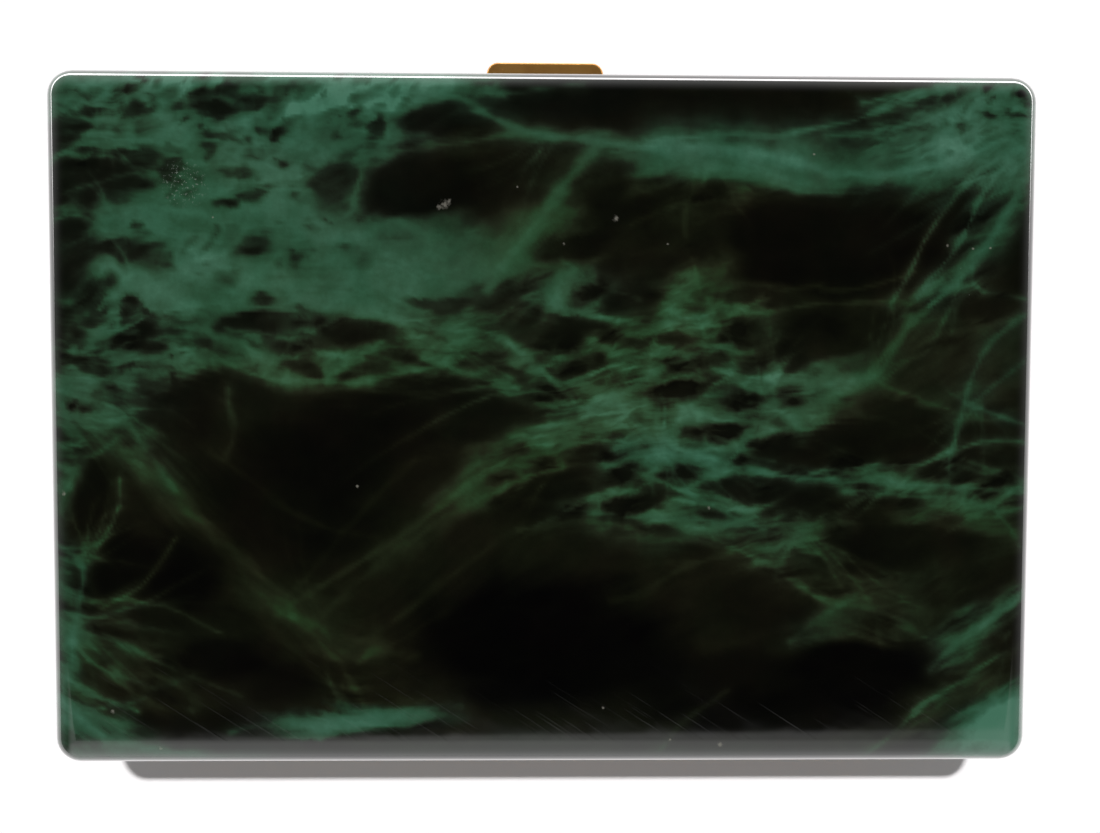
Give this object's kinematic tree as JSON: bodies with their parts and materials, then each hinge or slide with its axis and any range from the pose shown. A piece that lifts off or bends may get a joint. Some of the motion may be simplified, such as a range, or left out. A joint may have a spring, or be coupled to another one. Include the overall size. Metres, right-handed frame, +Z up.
{
  "type": "hinged pocket case",
  "caption": "Slim rectangular pocket case: two green and black marbled lacquered shells in brass frames, back hinge, push catch and a retaining arm in each half.",
  "frame": {"origin": "centre of the footprint, catch and hinge barrel included, on the plane that the back shell rests on", "axes": "+X along the hinge, +Y from the hinge to the thumb catch, +Z up through the front shell's marbled face"},
  "size_m": [0.108, 0.0802, 0.018],
  "materials": {
    "marbled_lacquer": "high gloss lacquer, green marbling over near-black",
    "polished_brass": "polished, worn at the edges",
    "gilt_liner": "satin gilt",
    "spring_steel": "bright drawn wire and sheet"
  },
  "bodies": {
    "base": {"back_shell": "marbled_lacquer", "base_frame": "polished_brass", "base_pan": "gilt_liner", "base_hinge_leaf": "polished_brass", "hinge_pin": "spring_steel", "catch_bracket": "polished_brass", "bracket_rivet_left": "polished_brass", "bracket_rivet_right": "polished_brass", "catch_spring": "spring_steel", "base_lug_left": "polished_brass", "base_lug_right": "polished_brass", "base_arm_pin": "spring_steel", "base_arm_spring": "spring_steel"},
    "lid": {"front_shell": "marbled_lacquer", "lid_frame": "polished_brass", "lid_pan": "gilt_liner", "lid_hinge_leaf": "polished_brass", "keeper": "spring_steel", "keeper_rivet_left": "polished_brass", "keeper_rivet_right": "polished_brass", "lid_lug_left": "polished_brass", "lid_lug_right": "polished_brass", "lid_arm_pin": "spring_steel", "lid_arm_spring": "spring_steel"},
    "catch": {"thumb_piece": "polished_brass", "catch_bolt": "polished_brass"},
    "base_arm": {"base_arm": "gilt_liner"},
    "lid_arm": {"lid_arm": "gilt_liner"}
  },
  "joints": [
    {"name": "lid_hinge", "type": "hinge", "parent": "base", "child": "lid", "pos_m": [0, -0.039, 0.009], "axis": [1, 0, 0], "range_deg": [0, 180]},
    {"name": "catch_push", "type": "slide", "parent": "base", "child": "catch", "axis": [0, -1, 0], "range_m": [0, 0.0009], "stiffness_N_per_m": 1200, "springref_m": -0.0006, "deforming": ["catch_spring"]},
    {"name": "base_arm_lift", "type": "hinge", "parent": "base", "child": "base_arm", "pos_m": [0, -0.0341, 0.00765], "axis": [1, 0, 0], "range_deg": [0, 72], "deforming": ["base_arm_spring"]},
    {"name": "lid_arm_lift", "type": "hinge", "parent": "lid", "child": "lid_arm", "pos_m": [0, -0.0341, 0.01035], "axis": [-1, 0, 0], "range_deg": [0, 72], "deforming": ["lid_arm_spring"]}
  ],
  "couplings": [
    {"joint": "base_arm_lift", "follows": "lid_hinge", "ratio": 0.4},
    {"joint": "lid_arm_lift", "follows": "lid_hinge", "ratio": 0.4}
  ]
}
